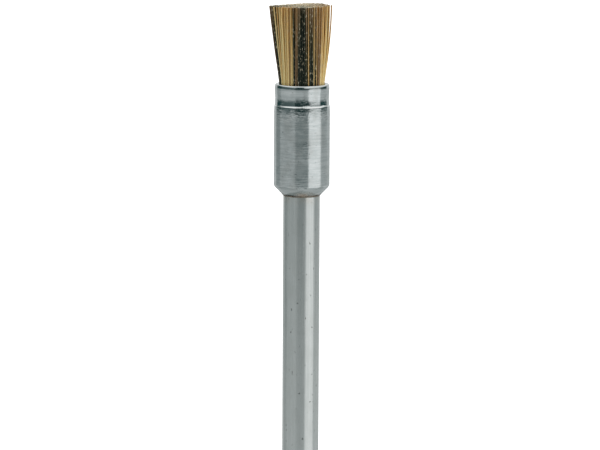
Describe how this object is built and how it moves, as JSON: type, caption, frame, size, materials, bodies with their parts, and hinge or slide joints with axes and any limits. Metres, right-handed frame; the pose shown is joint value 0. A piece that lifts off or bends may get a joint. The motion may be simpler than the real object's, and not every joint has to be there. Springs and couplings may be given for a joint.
{
  "type": "wire end brush",
  "caption": "Pencil-shaped wire brush for a rotary tool: straight brass wires held in a swaged steel cup on a plain round shank.",
  "frame": {"origin": "centre of the shank's lower end face", "axes": "+Z along the shank towards the wires; +X and +Y are any two square directions across it, because the brush is round"},
  "size_m": [0.0054, 0.0054, 0.0439],
  "materials": {
    "shank_steel": "ground steel with faint lengthwise streaks and small dark pits",
    "cup_steel": "plated steel, bright, with fine turning marks round it",
    "braze": "dull braze with a heat tint",
    "brass_wire": "drawn brass wire, bright, with cut ends"
  },
  "bodies": {
    "holder": {"shank": "shank_steel", "cup": "cup_steel", "braze_fillet": "braze", "core_wires": "brass_wire", "tuft_01_root": "brass_wire", "tuft_02_root": "brass_wire", "tuft_03_root": "brass_wire", "tuft_04_root": "brass_wire", "tuft_05_root": "brass_wire", "tuft_06_root": "brass_wire", "tuft_07_root": "brass_wire", "tuft_08_root": "brass_wire", "tuft_09_root": "brass_wire", "tuft_10_root": "brass_wire", "tuft_11_root": "brass_wire", "tuft_12_root": "brass_wire"},
    "tuft_01": {"tuft_01": "brass_wire"},
    "tuft_02": {"tuft_02": "brass_wire"},
    "tuft_03": {"tuft_03": "brass_wire"},
    "tuft_04": {"tuft_04": "brass_wire"},
    "tuft_05": {"tuft_05": "brass_wire"},
    "tuft_06": {"tuft_06": "brass_wire"},
    "tuft_07": {"tuft_07": "brass_wire"},
    "tuft_08": {"tuft_08": "brass_wire"},
    "tuft_09": {"tuft_09": "brass_wire"},
    "tuft_10": {"tuft_10": "brass_wire"},
    "tuft_11": {"tuft_11": "brass_wire"},
    "tuft_12": {"tuft_12": "brass_wire"}
  },
  "joints": [
    {"name": "tuft_01_flex", "type": "hinge", "parent": "holder", "child": "tuft_01", "pos_m": [0.00191, 0.00051, 0.03718], "axis": [-0.2588, 0.9659, 0], "range_deg": [0, 10], "stiffness_Nm_per_rad": 0.023},
    {"name": "tuft_02_flex", "type": "hinge", "parent": "holder", "child": "tuft_02", "pos_m": [0.0014, 0.0014, 0.03718], "axis": [-0.7071, 0.7071, 0], "range_deg": [0, 10], "stiffness_Nm_per_rad": 0.023},
    {"name": "tuft_03_flex", "type": "hinge", "parent": "holder", "child": "tuft_03", "pos_m": [0.00051, 0.00191, 0.03718], "axis": [-0.9659, 0.2588, 0], "range_deg": [0, 10], "stiffness_Nm_per_rad": 0.023},
    {"name": "tuft_04_flex", "type": "hinge", "parent": "holder", "child": "tuft_04", "pos_m": [-0.00051, 0.00191, 0.03718], "axis": [-0.9659, -0.2588, 0], "range_deg": [0, 10], "stiffness_Nm_per_rad": 0.023},
    {"name": "tuft_05_flex", "type": "hinge", "parent": "holder", "child": "tuft_05", "pos_m": [-0.0014, 0.0014, 0.03718], "axis": [-0.7071, -0.7071, 0], "range_deg": [0, 10], "stiffness_Nm_per_rad": 0.023},
    {"name": "tuft_06_flex", "type": "hinge", "parent": "holder", "child": "tuft_06", "pos_m": [-0.00191, 0.00051, 0.03718], "axis": [-0.2588, -0.9659, 0], "range_deg": [0, 10], "stiffness_Nm_per_rad": 0.023},
    {"name": "tuft_07_flex", "type": "hinge", "parent": "holder", "child": "tuft_07", "pos_m": [-0.00191, -0.00051, 0.03718], "axis": [0.2588, -0.9659, 0], "range_deg": [0, 10], "stiffness_Nm_per_rad": 0.023},
    {"name": "tuft_08_flex", "type": "hinge", "parent": "holder", "child": "tuft_08", "pos_m": [-0.0014, -0.0014, 0.03718], "axis": [0.7071, -0.7071, 0], "range_deg": [0, 10], "stiffness_Nm_per_rad": 0.023},
    {"name": "tuft_09_flex", "type": "hinge", "parent": "holder", "child": "tuft_09", "pos_m": [-0.00051, -0.00191, 0.03718], "axis": [0.9659, -0.2588, 0], "range_deg": [0, 10], "stiffness_Nm_per_rad": 0.023},
    {"name": "tuft_10_flex", "type": "hinge", "parent": "holder", "child": "tuft_10", "pos_m": [0.00051, -0.00191, 0.03718], "axis": [0.9659, 0.2588, 0], "range_deg": [0, 10], "stiffness_Nm_per_rad": 0.023},
    {"name": "tuft_11_flex", "type": "hinge", "parent": "holder", "child": "tuft_11", "pos_m": [0.0014, -0.0014, 0.03718], "axis": [0.7071, 0.7071, 0], "range_deg": [0, 10], "stiffness_Nm_per_rad": 0.023},
    {"name": "tuft_12_flex", "type": "hinge", "parent": "holder", "child": "tuft_12", "pos_m": [0.00191, -0.00051, 0.03718], "axis": [0.2588, 0.9659, 0], "range_deg": [0, 10], "stiffness_Nm_per_rad": 0.023}
  ]
}
